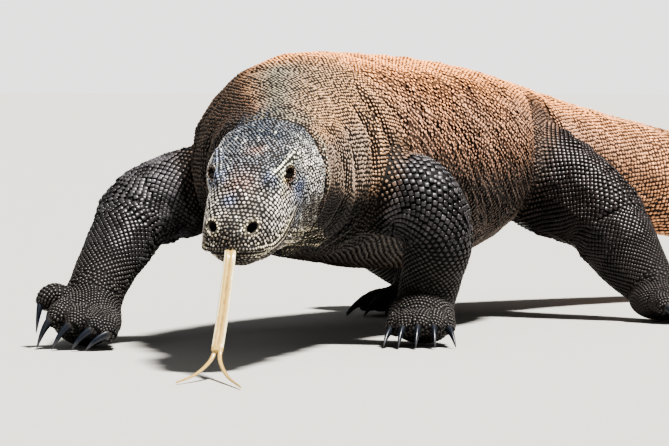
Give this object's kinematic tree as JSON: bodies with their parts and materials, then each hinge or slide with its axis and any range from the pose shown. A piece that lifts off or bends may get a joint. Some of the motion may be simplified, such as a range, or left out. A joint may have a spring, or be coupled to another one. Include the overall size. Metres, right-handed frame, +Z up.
{
  "type": "komodo dragon",
  "caption": "Life-size Komodo dragon walking with its head low and its forked tongue out to the ground, as a still museum model standing on its own feet and tail.",
  "frame": {"origin": "on the floor under the middle of the bounding box, with the feet and the tail resting at z = 0", "axes": "+Z up; the animal walks toward -Y, so +Y runs along the body toward the tail; +X is the animal's left side"},
  "size_m": [0.5804, 2.6488, 0.307],
  "materials": {
    "skin": "dry pebbled scales, tan on the back and neck, blue-grey on the head, near black on the legs with pale grey scale centres",
    "eye": "wet gloss, dark brown iris with a round black pupil",
    "tongue": "moist satin, yellow ochre with a groove down the middle",
    "claw": "polished horn, blue-black"
  },
  "bodies": {
    "root": {"head": "skin", "lower_jaw": "skin", "neck": "skin", "trunk": "skin", "tail_1": "skin", "tail_2": "skin", "tail_3": "skin", "tail_4": "skin", "front_left_upper_arm": "skin", "front_left_forearm": "skin", "front_left_foot": "skin", "front_right_upper_arm": "skin", "front_right_forearm": "skin", "front_right_foot": "skin", "hind_left_thigh": "skin", "hind_left_shank": "skin", "hind_left_foot": "skin", "hind_right_thigh": "skin", "hind_right_shank": "skin", "hind_right_foot": "skin", "eye_left": "eye", "eye_right": "eye", "tongue": "tongue", "front_left_claw_1": "claw", "front_left_claw_2": "claw", "front_left_claw_3": "claw", "front_left_claw_4": "claw", "front_left_claw_5": "claw", "front_right_claw_1": "claw", "front_right_claw_2": "claw", "front_right_claw_3": "claw", "front_right_claw_4": "claw", "front_right_claw_5": "claw", "hind_left_claw_1": "claw", "hind_left_claw_2": "claw", "hind_left_claw_3": "claw", "hind_left_claw_4": "claw", "hind_left_claw_5": "claw", "hind_right_claw_1": "claw", "hind_right_claw_2": "claw", "hind_right_claw_3": "claw", "hind_right_claw_4": "claw", "hind_right_claw_5": "claw"}
  },
  "joints": []
}
